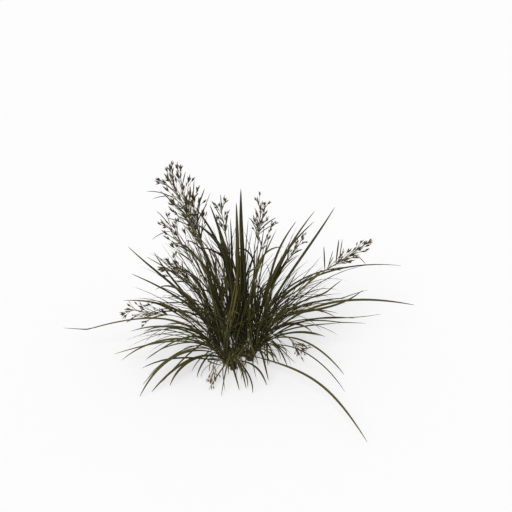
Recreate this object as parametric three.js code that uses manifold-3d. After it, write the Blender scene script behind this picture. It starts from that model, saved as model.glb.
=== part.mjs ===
// Panic grass: a dense tuft of narrow arching leaves and open flower heads on its cut crown.
// Millimetres and degrees, +Z up. The origin is under the middle of the crown, on the surface.
// A turn of 0 points right (+X), 90 to the back (+Y), 180 left and 270 to the front.

import * as THREE from "three";
import Module from "manifold-3d";

const wasm = await Module();
wasm.setup();

// Driving dimensions of the crown and what stands on it
const crownHeight = 4.4;
const crownShoulder = 0.6; // how far the flat top is smaller than the lobe
const crownFoot = 0.9; // how far the flat underside is smaller than the lobe
const crownSides = 12;
const runnerRadius = 1.8; // the short thick runners that join the lobes
const seatGap = 0.3; // under each shoot and stem, and under each flower head
const leafGap = 0.35; // least room between the leaves of two shoots
const floorGap = 0.25; // least height of a leaf over the surface
const finestEdge = 0.01; // shorter edges, left where blades join, are closed up

// Bunches of shoots, each on its own lobe of the crown and leaning its own way, [turn, degrees],
// with so many filling leaves on each shoot. All grew from the middle one.
const bunches = [
  { name: "middle", at: [0, 0], ring: 5, shoots: 6, firstTurn: 0, lean: [340, 6], leaves: 5 },
  { name: "front", at: [-5, -33], ring: 3.8, shoots: 4, firstTurn: 250, lean: [190, 18], leaves: 1 },
  { name: "left", at: [-14, -19], ring: 4.2, shoots: 5, firstTurn: 186, lean: [172, 26], leaves: 3 },
  { name: "right", at: [15, -13], ring: 4.2, shoots: 4, firstTurn: 7, lean: [6, 19], leaves: 5 },
  { name: "rear_left", at: [-15, 17], ring: 4.2, shoots: 4, firstTurn: 124, lean: [146, 12], leaves: 5 },
  { name: "rear_right", at: [24, 10], ring: 4.2, shoots: 4, firstTurn: 57, lean: [24, 14], leaves: 5 },
];
const lobeMargin = 1.8; // from the ring of shoots to the edge of the lobe

// Leaf sheaths: a slim rolled foot. Each leans as its bunch does and away from its middle.
const sheath = { height: 36, footRadius: 1.3, topRadius: 0.9, sides: 6, fan: 11 };

// Leaf blades: how the width runs from the sheath to the tip
const blade = { steps: 6, handle: 0.4, baseShare: 0.34, widestAt: 0.45, taper: 3.4 };
const keelShare = 0.22; // depth of the folded midrib as a share of the width

// Leaves that give the tuft its outline. Each row is: shoot, turn, reach from the shoot's foot,
// height of the tip, angle of rise at the sheath, angle at the tip, width, how far the leaf swings
// sideways on its way, and where it is broken near its tip, [share of its length, angle].
const outlineLeaves = [
  ["middle_1", 270, 2, 212, 89, 89, 5, 0],
  ["middle_0", 268, 3, 196, 89, 88, 4.8, 0],
  ["middle_4", 182, 40, 170, 84, 34, 4.8, 0],
  ["middle_5", 215, 8, 171, 86, 86, 4.6, 0],
  ["middle_4", 164, 26, 190, 90, 68, 4.2, 0],
  ["middle_3", 172, 46, 187, 84, 52, 3.2, 0],
  ["middle_6", 330, 12, 178, 84, 84, 3, 0],
  ["middle_5", 232, 12, 121, 86, 78, 3, 0],
  ["middle_1", 6, 26, 117, 92, 10, 3.4, 0],
  ["left_1", 172, 190, 20, 62, -22, 3, -6, [0.87, 24]],
  ["right_4", 306, 201, 7, 14, -24, 3.2, 8],
  ["right_1", 13, 200, 49, 55, -18, 2.8, 0],
  ["rear_right_1", 25, 198, 71, 80, -17, 3, 0],
  ["right_0", 21, 103, 180, 74, 57, 3.8, 0],
  ["rear_right_0", 28, 75, 167, 78, 44, 3.4, 0],
  ["left_5", 160, 130, 57, 60, -14, 3.2, 0],
  ["left_0", 162, 118, 134, 72, 41, 2.8, 0],
  ["right_2", 17, 142, 70, 80, 40, 3, 0],
  ["right_0", 8, 156, 50, 60, 8, 2.6, 0],
  ["left_2", 218, 116, 3, 40, -40, 2.8, -22],
  ["front_4", 212, 101, 3, 34, -26, 3, -20],
  ["front_4", 213, 79, 4, 38, -50, 3, -26],
  ["left_1", 191, 117, 17, 52, -40, 2.6, 0],
  ["front_0", 176, 140, 14, 42, -22, 2.6, 0],
  ["left_0", 171, 98, 33, 52, -32, 2.4, 0],
  ["front_4", 184, 98, 15, 62, -46, 2.4, 0],
  ["rear_left_2", 160, 87, 114, 52, 57, 2.6, 0],
  ["left_5", 149, 134, 81, 68, 8, 2.2, 0],
  ["rear_left_1", 161, 98, 104, 72, 22, 2.4, 0],
  ["left_0", 164, 85, 84, 80, -44, 2.6, 0],
  ["rear_left_2", 171, 63, 98, 74, -20, 2.4, 0],
  ["left_1", 174, 108, 36, 54, -24, 2.4, 0],
  ["left_2", 208, 103, 3, 50, -40, 1.8, -12],
  ["left_2", 227, 45, 3, 60, -80, 2.2, -12],
  ["left_4", 282, 67, 3, 56, -46, 2.6, -8],
  ["left_4", 289, 66, 3, 62, -52, 2.4, 0],
  ["front_2", 309, 56, 7, 32, -38, 2.6, 14],
  ["right_4", 291, 56, 8, 60, -44, 2.4, 8],
  ["rear_right_4", 282, 39, 3, 68, -76, 2.6, 0],
  ["rear_right_4", 307, 51, 3, 42, -40, 2.4, 14],
  ["right_3", 238, 79, 3, 44, -28, 1.8, 0],
  ["middle_5", 261, 90, 3, 46, -34, 1.8, 0],
  ["rear_right_4", 329, 111, 3, 38, -38, 3, 10],
  ["right_4", 327, 125, 3, 46, -44, 1.8, 12],
  ["rear_right_1", 12, 135, 51, 54, -14, 2.6, 0, [0.78, 24]],
  ["right_1", 5, 119, 50, 50, -10, 2.4, 0],
  ["rear_right_4", 349, 95, 49, 42, 12, 2.2, 0],
  ["right_0", 1, 134, 42, 56, -18, 2.2, 0, [0.81, 12]],
  ["right_1", 357, 77, 35, 52, -16, 2.4, 0],
  ["rear_right_4", 345, 62, 35, 66, -50, 2.8, 0],
  ["rear_right_0", 34, 54, 156, 80, 43, 2.8, 0],
  ["rear_right_2", 8, 68, 163, 78, 42, 3.2, 0],
  ["rear_right_1", 16, 108, 66, 56, 4, 2.4, 0, [0.8, 30]],
  ["rear_right_2", 35, 63, 108, 78, 8, 2.6, 0],
  ["rear_right_0", 10, 112, 102, 86, -4, 2.4, 0],
];

// Leaves that fill the tuft, by rule: from low and drooping on its outside to upright inside
const filler = {
  lengthLow: [70, 125], // lengths of the lowest leaves
  lengthHigh: [95, 170], // and of the upright ones
  widthRange: [1.5, 2.6],
  swing: 24,
  liftInside: [0.5, 1],
  liftOutside: [0.04, 0.78],
  spreadInside: 330,
  spreadOutside: 120,
};
const outsideAt = 30; // distance of the outermost shoots from the middle

// Flowering stems. Each row is: bunch, turn of the foot in it, neck, angle of rise at the foot,
// tip of the flower head, number of branches, length of the lowest branch, spread of the branches,
// and size of the spikelets.
const flowerStems = [
  ["middle", 150, [-38, 15, 132], 84, [-76, 24, 212], 12, 44, 24, 1],
  ["rear_left", 350, [-46, 26, 130], 80, [-66, 32, 212], 11, 42, 22, 1],
  ["rear_left", 169, [-41, 38, 122], 70, [-52, 44, 182], 10, 38, 28, 1],
  ["left", 5, [-50, 20, 108], 86, [-78, 24, 158], 10, 34, 26, 0.9],
  ["middle", 90, [-12, 12, 146], 94, [-17, 14, 182], 7, 20, 24, 0.8],
  ["middle", 30, [24, 18, 140], 72, [27, 20, 180], 9, 24, 18, 0.9],
  ["right", 52, [102, 20, 101], 58, [147, 28, 131], 11, 20, 20, 0.85],
  ["rear_right", 200, [56, 45, 96], 66, [76, 56, 124], 6, 16, 24, 0.7],
  ["left", 150, [-78, 14, 45], 42, [-128, 20, 50], 11, 26, 28, 0.75],
  ["rear_left", 259, [-53, 16, 86], 72, [-78, 22, 108], 9, 26, 34, 0.85],
  ["rear_right", 282, [60, -3, 24], 76, [75, -10, 14], 7, 16, 34, 0.7],
  ["front", 205, [-26, -57, 22], 66, [-28, -70, 10], 6, 9, 26, 0.55],
  ["rear_right", 102, [27, 28, 123], 70, [40, 33, 152], 4, 8, 22, 0.8],
];
const stem = { inset: 0.9, footRadius: 0.9, neckRadius: 0.55, sides: 5, handle: 0.35, jointSwell: 1.35 };
const stemJoints = [0.3, 0.62]; // where along a stem its swollen joints are
const head = { axisRadius: 0.6, branchRadius: 0.42, steps: 5, clearShare: 0.06, shorten: 0.6 };
const spikelet = { length: 7, radius: 1.15, widestAt: 0.4 };

const up = new THREE.Vector3(0, 0, 1);

function radians(degrees) {
  return (degrees * Math.PI) / 180;
}

function heading(turn) {
  return new THREE.Vector3(Math.cos(radians(turn)), Math.sin(radians(turn)), 0);
}

// A direction that climbs by an angle along a heading.
function climb(along, angle) {
  const flat = along.clone().multiplyScalar(Math.cos(radians(angle)));
  return flat.addScaledVector(up, Math.sin(radians(angle)));
}

// The same stream of numbers from 0 to 1 on every run, different for each seed.
function numberStream(seed) {
  let state = seed * 7919 + 104729;
  const next = () => {
    state = (state * 16807) % 2147483647;
    return state / 2147483647;
  };
  next();
  next();
  return next;
}

function mix(low, high, share) {
  return low + (high - low) * share;
}

// A closed solid through rings of points, each ring with the same number of points. The first
// ring is closed by a flat fan, the last by a fan or, where a tip is given, by a point.
function loft(rings, tip) {
  const sides = rings[0].length;
  const points = rings.flat();
  const faces = [];
  for (let r = 0; r + 1 < rings.length; r++) {
    for (let i = 0; i < sides; i++) {
      const a = r * sides + i;
      const b = r * sides + ((i + 1) % sides);
      faces.push(a, b, b + sides, a, b + sides, a + sides);
    }
  }
  for (let i = 1; i + 1 < sides; i++) faces.push(0, i + 1, i);
  const last = (rings.length - 1) * sides;
  if (tip) {
    points.push(tip);
    for (let i = 0; i < sides; i++) faces.push(last + i, last + ((i + 1) % sides), points.length - 1);
  } else {
    for (let i = 1; i + 1 < sides; i++) faces.push(last, last + i, last + i + 1);
  }
  return solidFrom(points, faces);
}

function solidFrom(points, faces) {
  const vertProperties = new Float32Array(points.flatMap((p) => [p.x, p.y, p.z]));
  return new wasm.Manifold(new wasm.Mesh({ numProp: 3, vertProperties, triVerts: new Uint32Array(faces) }));
}

function geometryOf(solid) {
  const mesh = solid.simplify(finestEdge).getMesh();
  const geometry = new THREE.BufferGeometry();
  geometry.setAttribute("position", new THREE.BufferAttribute(new Float32Array(mesh.vertProperties), 3));
  geometry.setIndex(new THREE.BufferAttribute(new Uint32Array(mesh.triVerts), 1));
  geometry.computeVertexNormals();
  return geometry;
}

// A round ring of points about a centre, square to a direction, that starts towards one side.
function ringAbout(centre, along, radius, sides, towards) {
  const over = new THREE.Vector3().crossVectors(along, towards).normalize();
  const side = new THREE.Vector3().crossVectors(over, along).normalize();
  return Array.from({ length: sides }, (_, i) => {
    const angle = (2 * Math.PI * i) / sides;
    const point = centre.clone().addScaledVector(side, radius * Math.cos(angle));
    return point.addScaledVector(over, radius * Math.sin(angle));
  });
}

// A curve that leaves the start along one direction and reaches the end along another.
function arc(start, leave, end, arrive, handle) {
  const pull = start.distanceTo(end) * handle;
  const second = start.clone().addScaledVector(leave, pull);
  const third = end.clone().addScaledVector(arrive, -pull);
  return new THREE.CubicBezierCurve3(start, second, third, end);
}

function bunchNamed(name) {
  return bunches.find((bunch) => bunch.name === name);
}

function standAt(bunch, turn, distance) {
  const centre = new THREE.Vector3(bunch.at[0], bunch.at[1], crownHeight + seatGap);
  return centre.addScaledVector(heading(turn), distance);
}

// Crown: a low knobbly lobe under each bunch, joined by short runners to the lobe that it grew
// from, all cut flat underneath.
function lobe(bunch) {
  const radius = bunch.ring + lobeMargin;
  const outline = [
    [radius - crownFoot, 0],
    [radius, crownHeight * 0.35],
    [radius - crownShoulder / 3, crownHeight * 0.75],
    [radius - crownShoulder, crownHeight],
  ];
  const rings = outline.map(([r, z]) => {
    const centre = new THREE.Vector3(bunch.at[0], bunch.at[1], z);
    return Array.from({ length: crownSides }, (_, i) => {
      return centre.clone().addScaledVector(heading((360 * i) / crownSides), r);
    });
  });
  return loft(rings);
}

function runner(from, to) {
  const height = runnerRadius + 0.2;
  const start = new THREE.Vector3(from.at[0], from.at[1], height);
  const end = new THREE.Vector3(to.at[0], to.at[1], height);
  const along = end.clone().sub(start).normalize();
  const sides = 8;
  return loft([start, end].map((centre) => ringAbout(centre, along, runnerRadius, sides, up)));
}

function crown() {
  const [middle, ...grown] = bunches;
  const runners = grown.map((bunch) => runner(middle, bunch));
  return [...bunches.map(lobe), ...runners].reduce((whole, piece) => whole.add(piece));
}

// Shoots: the sites of all leaf sheaths, the middle one of each bunch first.
function shootSites() {
  const sites = [];
  for (const bunch of bunches) {
    for (let i = 0; i <= bunch.shoots; i++) {
      const turn = bunch.firstTurn + ((i - 1) * 360) / bunch.shoots;
      const foot = standAt(bunch, turn, i ? bunch.ring : 0);
      const distance = Math.hypot(foot.x, foot.y);
      const tilt = heading(bunch.lean[0]).multiplyScalar(bunch.lean[1]);
      if (i) tilt.addScaledVector(heading(turn), sheath.fan);
      const angle = tilt.length();
      const lean = angle ? climb(tilt.clone().normalize(), 90 - angle) : up.clone();
      const name = bunch.name + "_" + i;
      sites.push({ name, foot, lean, distance, tiltTurn: turnOf(tilt), leaves: bunch.leaves });
    }
  }
  return sites;
}

function turnOf(direction) {
  return (Math.atan2(direction.y, direction.x) * 180) / Math.PI;
}

function sheathSolid(site) {
  const { height, footRadius, topRadius, sides } = sheath;
  const rings = [0, 0.5, 1].map((share) => {
    const centre = site.foot.clone().addScaledVector(site.lean, height * share);
    const direction = share ? site.lean : up;
    return ringAbout(centre, direction, mix(footRadius, topRadius, share), sides, heading(0));
  });
  return loft(rings);
}

// A flat-lying leaf leaves its sheath lower than an upright one.
function leaveHeight(rise) {
  return 2 + 0.15 * rise;
}

function bladeWidth(width, share) {
  const { baseShare, widestAt, taper } = blade;
  if (share < widestAt) {
    return width * mix(baseShare, 1, Math.sin(((share / widestAt) * Math.PI) / 2));
  }
  return width * (1 - ((share - widestAt) / (1 - widestAt)) ** taper);
}

// The run of a leaf: points from its sheath to its tip, with the break near the tip where it has one.
function leafPoints(site, leaf) {
  const leaveHeading = heading(leaf.turn + leaf.swing);
  const arriveHeading = heading(leaf.turn - leaf.swing);
  const start = site.foot.clone().addScaledVector(site.lean, leaf.from);
  const end = site.foot.clone().addScaledVector(heading(leaf.turn), leaf.reach).setZ(leaf.tip);
  const leave = climb(leaveHeading, leaf.rise);
  const arrive = climb(arriveHeading, leaf.fall);
  const curve = arc(start, leave, end, arrive, blade.handle);
  const points = curve.getPoints(blade.steps);
  if (leaf.broken) {
    const [share, angle] = leaf.broken;
    const side = new THREE.Vector3().crossVectors(up, arriveHeading);
    const hinge = curve.getPoint(share);
    points.forEach((point, i) => {
      if (i / blade.steps <= share) return;
      point.sub(hinge).applyAxisAngle(side, -radians(angle)).add(hinge);
    });
  }
  return points;
}

// A blade is folded along its midrib: a flat-topped wedge with the keel underneath.
function leafSolid(site, leaf) {
  const points = leafPoints(site, leaf);
  const tip = points.pop();
  const rings = points.map((point, i) => {
    const share = i / blade.steps;
    const width = bladeWidth(leaf.width, share);
    const across = new THREE.Vector3().crossVectors(up, heading(leaf.turn + leaf.swing * (1 - 2 * share)));
    const along = (points[i + 1] ?? tip).clone().sub(points[Math.max(i - 1, 0)]).normalize();
    const over = new THREE.Vector3().crossVectors(along, across).normalize();
    return [
      point.clone().addScaledVector(across, width / 2),
      point.clone().addScaledVector(across, -width / 2),
      point.clone().addScaledVector(over, -width * keelShare),
    ];
  });
  return loft(rings, tip);
}

// Filling leaves of a shoot: the nearer the outside, the lower they arch and the more they keep
// to their own side of the tuft.
function fillingLeaves(site, seed) {
  const next = numberStream(seed);
  const outside = Math.min(site.distance / outsideAt, 1);
  const lowest = mix(filler.liftInside[0], filler.liftOutside[0], outside);
  const highest = mix(filler.liftInside[1], filler.liftOutside[1], outside);
  const spread = mix(filler.spreadInside, filler.spreadOutside, outside);
  const leaves = [];
  for (let i = 0; i < site.leaves; i++) {
    const lift = mix(lowest, highest, (i + next()) / site.leaves);
    const turn = site.tiltTurn + spread * (next() - 0.5);
    const reachShare = next();
    const length = mix(mix(...filler.lengthLow, reachShare), mix(...filler.lengthHigh, reachShare), lift);
    const slope = 2 + 84 * lift;
    const droop = (1 - lift) * (0.5 + next());
    leaves.push({
      turn,
      reach: length * Math.cos(radians(slope)) * (1 - 0.12 * droop),
      tip: 4 + length * Math.sin(radians(slope)) * (1 - 0.1 * droop),
      rise: Math.min(88, slope + 10 + 34 * (1 - lift)),
      fall: slope - 12 - 46 * droop,
      width: mix(...filler.widthRange, next()),
      swing: filler.swing * (2 * next() - 1),
      from: mix(8, 30, next()),
    });
  }
  return leaves;
}

// Flowering stems and flower heads
function readStem([bunch, turn, neck, rise, tip, branches, reach, spread, size], index) {
  const foot = standAt(bunchNamed(bunch), turn, bunchNamed(bunch).ring + stem.inset);
  const neckPoint = new THREE.Vector3(...neck);
  const tipPoint = new THREE.Vector3(...tip);
  const flat = neckPoint.clone().sub(foot).setZ(0).normalize();
  const leave = climb(flat, rise);
  const arrive = tipPoint.clone().sub(neckPoint).normalize();
  const curve = arc(foot, leave, neckPoint, arrive, stem.handle);
  const across = new THREE.Vector3().crossVectors(up, flat);
  const headSize = { branches, reach, spread, size };
  return { number: index + 1, curve, neck: neckPoint, tip: tipPoint, arrive, across, ...headSize };
}

function stemSolid(flowerStem) {
  const swell = stem.jointSwell;
  const stops = [[0, 1], [0.14, 1]];
  for (const joint of stemJoints) stops.push([joint - 0.012, 1], [joint, swell], [joint + 0.012, 1]);
  stops.push([0.82, 1], [1, 1]);
  const rings = stops.map(([share, factor]) => {
    const radius = mix(stem.footRadius, stem.neckRadius, share) * factor;
    const centre = flowerStem.curve.getPoint(share);
    const along = share ? flowerStem.curve.getTangent(share) : up;
    return ringAbout(centre, along, radius, stem.sides, flowerStem.across);
  });
  return loft(rings);
}

// The middle line of a flower head carries on from the stem and bows towards its tip.
function headCurve({ neck, tip, arrive, number }) {
  const start = neck.clone().addScaledVector(arrive, seatGap);
  const bow = climb(heading(137 * number), 40).multiplyScalar(0.25);
  return arc(start, arrive, tip, arrive.clone().add(bow).normalize(), 0.33);
}

function headAxis(flowerStem) {
  const curve = headCurve(flowerStem);
  const { axisRadius, steps } = head;
  const rings = Array.from({ length: steps }, (_, i) => {
    const share = i / steps;
    const radius = axisRadius * (1 - 0.5 * share);
    return ringAbout(curve.getPoint(share), curve.getTangent(share), radius, 4, flowerStem.across);
  });
  return loft(rings, curve.getPoint(1));
}

// One branch of a flower head: a thin stalk that ends in a pointed spikelet.
function branchSolid(flowerStem, index) {
  const curve = headCurve(flowerStem);
  const share = mix(head.clearShare, 0.93, index / (flowerStem.branches - 1));
  const root = curve.getPoint(share);
  const along = curve.getTangent(share);
  const next = numberStream(flowerStem.number * 100 + index);
  const [side] = ringAbout(new THREE.Vector3(), along, 1, 3, flowerStem.across);
  side.applyAxisAngle(along, radians(137.5 * index + 40 * next()));
  const spread = radians(flowerStem.spread * (0.7 + 0.6 * next()));
  const out = along.clone().multiplyScalar(Math.cos(spread)).addScaledVector(side, Math.sin(spread));
  const length = flowerStem.reach * (1 - head.shorten * share) * (0.75 + 0.4 * next());
  const sag = 0.1 * length * next();
  const at = (distance) => {
    const bend = (distance / length) ** 2;
    return root.clone().addScaledVector(out, distance).addScaledVector(up, -sag * bend);
  };
  const stalk = head.branchRadius;
  const spikeletLength = spikelet.length * flowerStem.size;
  const stops = [
    [0, stalk],
    [length * 0.6, stalk],
    [length, stalk * 0.8],
    [length + spikeletLength * spikelet.widestAt, spikelet.radius * flowerStem.size],
  ];
  const rings = stops.map(([distance, radius]) => {
    const direction = at(distance + 1).sub(at(distance)).normalize();
    return ringAbout(at(distance), direction, radius, 3, side);
  });
  return loft(rings, at(length + spikeletLength));
}

// Nodes: name to solid, and the test that keeps the pieces of two nodes apart
const nodes = new Map();

function boxesNear(a, b, gap) {
  const first = a.boundingBox();
  const second = b.boundingBox();
  return [0, 1, 2].every((k) => first.min[k] < second.max[k] + gap && second.min[k] < first.max[k] + gap);
}

function isClear(solid, owner) {
  if (solid.boundingBox().min[2] < floorGap) return false;
  for (const [name, other] of nodes) {
    if (name === owner || !boxesNear(solid, other, leafGap)) continue;
    if (solid.minGap(other, leafGap) < leafGap) return false;
  }
  return true;
}

function joinTo(owner, solid) {
  if (!isClear(solid, owner)) return;
  const joined = nodes.get(owner).add(solid);
  if (joined.decompose().length === 1) nodes.set(owner, joined);
}

const sites = shootSites();
const stems = flowerStems.map(readStem);
nodes.set("crown", crown());
for (const site of sites) nodes.set("leaf_shoot_" + site.name, sheathSolid(site));
for (const flowerStem of stems) nodes.set("flower_stem_" + flowerStem.number, stemSolid(flowerStem));
for (const flowerStem of stems) nodes.set("flower_head_" + flowerStem.number, headAxis(flowerStem));

for (const [name, turn, reach, tip, rise, fall, width, swing, broken] of outlineLeaves) {
  const site = sites.find((candidate) => candidate.name === name);
  const leaf = { turn, reach, tip, rise, fall, width, swing, broken, from: leaveHeight(rise) };
  joinTo("leaf_shoot_" + name, leafSolid(site, leaf));
}
for (const flowerStem of stems) {
  for (let i = 0; i < flowerStem.branches; i++) {
    joinTo("flower_head_" + flowerStem.number, branchSolid(flowerStem, i));
  }
}
sites.forEach((site, index) => {
  for (const leaf of fillingLeaves(site, index + 1)) {
    joinTo("leaf_shoot_" + site.name, leafSolid(site, leaf));
  }
});

const finishes = {
  crown: { color: 0x40331f, roughness: 0.9 },
  leaf: { color: 0x3f3c20, roughness: 0.6 },
  flower_stem: { color: 0x4d4829, roughness: 0.65 },
  flower_head: { color: 0x46331f, roughness: 0.8 },
};

const plant = new THREE.Group();
for (const [name, solid] of nodes) {
  const key = Object.keys(finishes).find((start) => name.startsWith(start));
  const mesh = new THREE.Mesh(
    geometryOf(solid),
    new THREE.MeshStandardMaterial({ ...finishes[key], metalness: 0 }),
  );
  mesh.name = name;
  plant.add(mesh);
}

export default plant;
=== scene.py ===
import math

import bmesh
import bpy
import numpy as np
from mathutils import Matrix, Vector


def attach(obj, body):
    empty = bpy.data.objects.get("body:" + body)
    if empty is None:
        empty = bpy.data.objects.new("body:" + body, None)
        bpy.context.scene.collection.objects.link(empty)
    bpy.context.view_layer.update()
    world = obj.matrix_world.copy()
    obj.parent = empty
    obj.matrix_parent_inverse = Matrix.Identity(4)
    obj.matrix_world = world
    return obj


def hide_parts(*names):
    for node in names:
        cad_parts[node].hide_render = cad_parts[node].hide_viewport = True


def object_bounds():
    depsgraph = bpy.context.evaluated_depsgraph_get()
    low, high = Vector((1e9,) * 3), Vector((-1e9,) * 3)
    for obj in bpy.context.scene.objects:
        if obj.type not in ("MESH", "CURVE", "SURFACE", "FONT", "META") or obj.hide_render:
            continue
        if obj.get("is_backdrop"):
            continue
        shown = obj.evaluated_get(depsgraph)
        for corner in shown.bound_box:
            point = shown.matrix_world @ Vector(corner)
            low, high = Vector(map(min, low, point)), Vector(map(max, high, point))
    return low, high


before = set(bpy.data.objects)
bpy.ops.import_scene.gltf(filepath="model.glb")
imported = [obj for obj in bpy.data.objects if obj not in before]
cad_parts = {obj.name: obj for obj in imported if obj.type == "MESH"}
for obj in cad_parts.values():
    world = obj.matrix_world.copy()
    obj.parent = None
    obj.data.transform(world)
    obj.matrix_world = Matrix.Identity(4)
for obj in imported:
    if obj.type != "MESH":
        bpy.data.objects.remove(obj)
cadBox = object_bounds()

mm = 0.001
up = np.array((0.0, 0.0, 1.0))
goldenTurn = 137.5  # from one branch or husk to the next, so that none stands over another


# Small sums on directions and curves
def heading(turn):
    turn = np.radians(np.asarray(turn, float))
    return np.stack((np.cos(turn), np.sin(turn), np.zeros_like(turn)), axis=-1)


def unit(directions):
    return directions / np.linalg.norm(directions, axis=-1, keepdims=True)


def swung(along, side, angle):  # a direction swung by an angle towards another that is square to it
    return along * math.cos(math.radians(angle)) + side * math.sin(math.radians(angle))


def climb(along, angle):
    return swung(along, up, angle)


def turned(vectors, axis, angle):  # vectors turned about an axis by an angle
    along = (vectors @ axis)[..., None] * axis
    return along + swung(vectors - along, np.cross(axis, vectors), angle)


def mix(low, high, share):
    return low + (high - low) * share


def numberStream(seed):  # the same draws on every run, different for each seed
    state = seed * 7919 + 104729

    def draw(limits=(0, 1)):
        nonlocal state
        state = state * 16807 % 2147483647
        return mix(*limits, state / 2147483647)

    draw()
    draw()
    return draw


def arc(start, leave, end, arrive, handle=0.33):  # the handle is how long it keeps its directions
    pull = np.linalg.norm(end - start) * handle
    return np.array((start, start + leave * pull, end - arrive * pull, end))


def walk(curve, share):  # the points at shares of a curve, and the directions in which it runs there
    share = np.asarray(share, float)[..., None]
    rest = 1 - share
    a, b, c, d = curve
    points = a * rest**3 + 3 * b * rest**2 * share + 3 * c * rest * share**2 + d * share**3
    return points, unit((b - a) * rest**2 + 2 * (c - b) * rest * share + (d - c) * share**2)


def tubeLine(curve, towards):  # how a stalk runs: its points, and two directions square to it
    def line(share):
        points, along = walk(curve, share)
        over = unit(np.cross(along, towards))
        return points, np.cross(over, along), over

    return line


def strand(foot, leave, end, arrive, towards):
    return tubeLine(arc(foot, leave, end, arrive), towards)


def sprout(foot, leave, arrive, length, towards):  # a strand of a length
    return strand(foot, leave, foot + unit(leave + arrive) * length, arrive, towards)


# Modelling by hand: one piece at a time in edit mode, with its points picked by their place
def holdOnly(*pieces):
    if bpy.context.object and bpy.context.object.mode != "OBJECT":
        bpy.ops.object.mode_set(mode="OBJECT")
    bpy.ops.object.select_all(action="DESELECT")
    for piece in pieces:
        piece.select_set(True)
    bpy.context.view_layer.objects.active = pieces[0]


def editOnly(piece):
    holdOnly(piece)
    bpy.ops.object.mode_set(mode="EDIT")
    bpy.ops.mesh.select_mode(type="VERT")


def startPiece(addShape, rotation=(-math.pi / 2, 0, 0), **shape):  # it lies along y, from 0 to 1
    addShape(location=(0, 0.5, 0), rotation=rotation, **shape)
    piece = bpy.context.object
    bpy.ops.object.transform_apply(location=True, rotation=True)
    editOnly(piece)
    return piece


def pickPoints(piece, wanted):
    shape = bmesh.from_edit_mesh(piece.data)
    for point in shape.verts:
        point.select_set(bool(wanted(point.co)))
    shape.select_flush(True)
    bmesh.update_edit_mesh(piece.data)


def cutRows(piece, cuts):  # cuts the long edges, which run along the piece
    shape = bmesh.from_edit_mesh(piece.data)
    for edge in shape.edges:
        edge.select_set(abs(edge.verts[0].co.y - edge.verts[1].co.y) > 0.3)
    bmesh.update_edit_mesh(piece.data)
    bpy.ops.mesh.subdivide(number_cuts=cuts)


def isRow(at, share, rows):  # whether a point is in the row at a share of the length
    return abs(at.y - share) < 0.2 / rows


def scaleRows(piece, rows, widthAt):  # each row of points across the piece, drawn in or let out
    for row in range(rows + 1):
        share = row / rows
        pickPoints(piece, lambda at: isRow(at, share, rows))
        width = widthAt(share)
        bpy.ops.transform.resize(value=(width, 1, width), center_override=(0, share, 0))


def smoothTo(piece, angle):  # edges sharper than the angle stay sharp
    holdOnly(piece)
    bpy.ops.object.shade_smooth_by_angle(angle=math.radians(angle))


def finishMaster(piece, name, angle=35):
    smoothTo(piece, angle)
    piece.name = name
    for label, kind in (("tone", "FLOAT_COLOR"), ("run", "FLOAT")):
        piece.data.attributes.new(label, kind, "POINT")
    piece.hide_render = True
    return piece


def applyModifier(piece, kind, **settings):
    holdOnly(piece)
    modifier = piece.modifiers.new(kind, kind)
    for name, value in settings.items():
        setattr(modifier, name, value)
    bpy.ops.object.modifier_apply(modifier=kind)


# A round stalk: y from 0 to 1, radius 1 before widthAt changes it
def modelStalk(name, sides, rows, widthAt):
    stalk = startPiece(bpy.ops.mesh.primitive_cylinder_add, vertices=sides, radius=1, depth=1)
    cutRows(stalk, rows - 1)
    scaleRows(stalk, rows, widthAt)
    return finishMaster(stalk, name, 60)


# A copy with its own mesh, laid along a line; its x and z are in widths, its y is the share
def copyAlong(master, line, width, tone):
    piece = master.copy()
    piece.data = master.data.copy()
    piece.hide_render = False
    bpy.context.collection.objects.link(piece)
    mesh = piece.data
    count = len(mesh.vertices)
    own = np.empty(count * 3, np.float32)
    mesh.vertices.foreach_get("co", own)
    own = own.reshape(-1, 3).astype(float)
    share = np.clip(own[:, 1], 0, 1)
    points, side, over = line(share)
    placed = points + side * (own[:, :1] * width) + over * (own[:, 2:] * width)
    placed[:, 2] = np.maximum(placed[:, 2], bladeLook["floor"])
    mesh.vertices.foreach_set("co", (placed * mm).astype(np.float32).ravel())
    mesh.attributes["run"].data.foreach_set("value", share.astype(np.float32))
    tones = np.tile(np.array((*tone, 1), np.float32), (count, 1))
    mesh.attributes["tone"].data.foreach_set("color", tones.ravel())
    mesh.update()
    return piece


def joinAs(name, pieces):
    holdOnly(*pieces)
    bpy.ops.object.join()
    whole = bpy.context.object
    whole.name = name
    whole.data.name = name
    return whole


# Finishes
def newMaterial(name):
    material = bpy.data.materials.new(name)
    material.use_nodes = True
    tree = material.node_tree
    return material, tree, tree.nodes["Principled BSDF"]


def feed(tree, node, **inputs):  # gives each socket its value, or links it to another node's
    for name, value in inputs.items():
        socket = node.inputs[int(name[2:]) if name.startswith("in") else name.replace("_", " ")]
        if isinstance(value, bpy.types.NodeSocket):
            tree.links.new(value, socket)
        else:
            socket.default_value = (*value, 1) if socket.type == "RGBA" else value


def addNode(tree, kind, **given):  # with its settings and its sockets
    node = tree.nodes.new("ShaderNode" + kind)
    for name, value in given.items():
        if hasattr(node, name):
            setattr(node, name, value)
        else:
            feed(tree, node, **{name: value})
    return node


def addMath(tree, operation, *values, clamp=False):
    inputs = {"in" + str(i): value for i, value in enumerate(values)}
    return addNode(tree, "Math", operation=operation, use_clamp=clamp, **inputs).outputs[0]


def addRange(tree, value, low, high):  # 0 at low, 1 at high, with soft ends
    ends = {"From_Min": low, "From_Max": high}
    return addNode(tree, "MapRange", interpolation_type="SMOOTHSTEP", Value=value, **ends).outputs[0]


def addMix(tree, factor, first, second):
    return addNode(tree, "Mix", data_type="RGBA", in0=factor, in6=first, in7=second).outputs[2]


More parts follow.
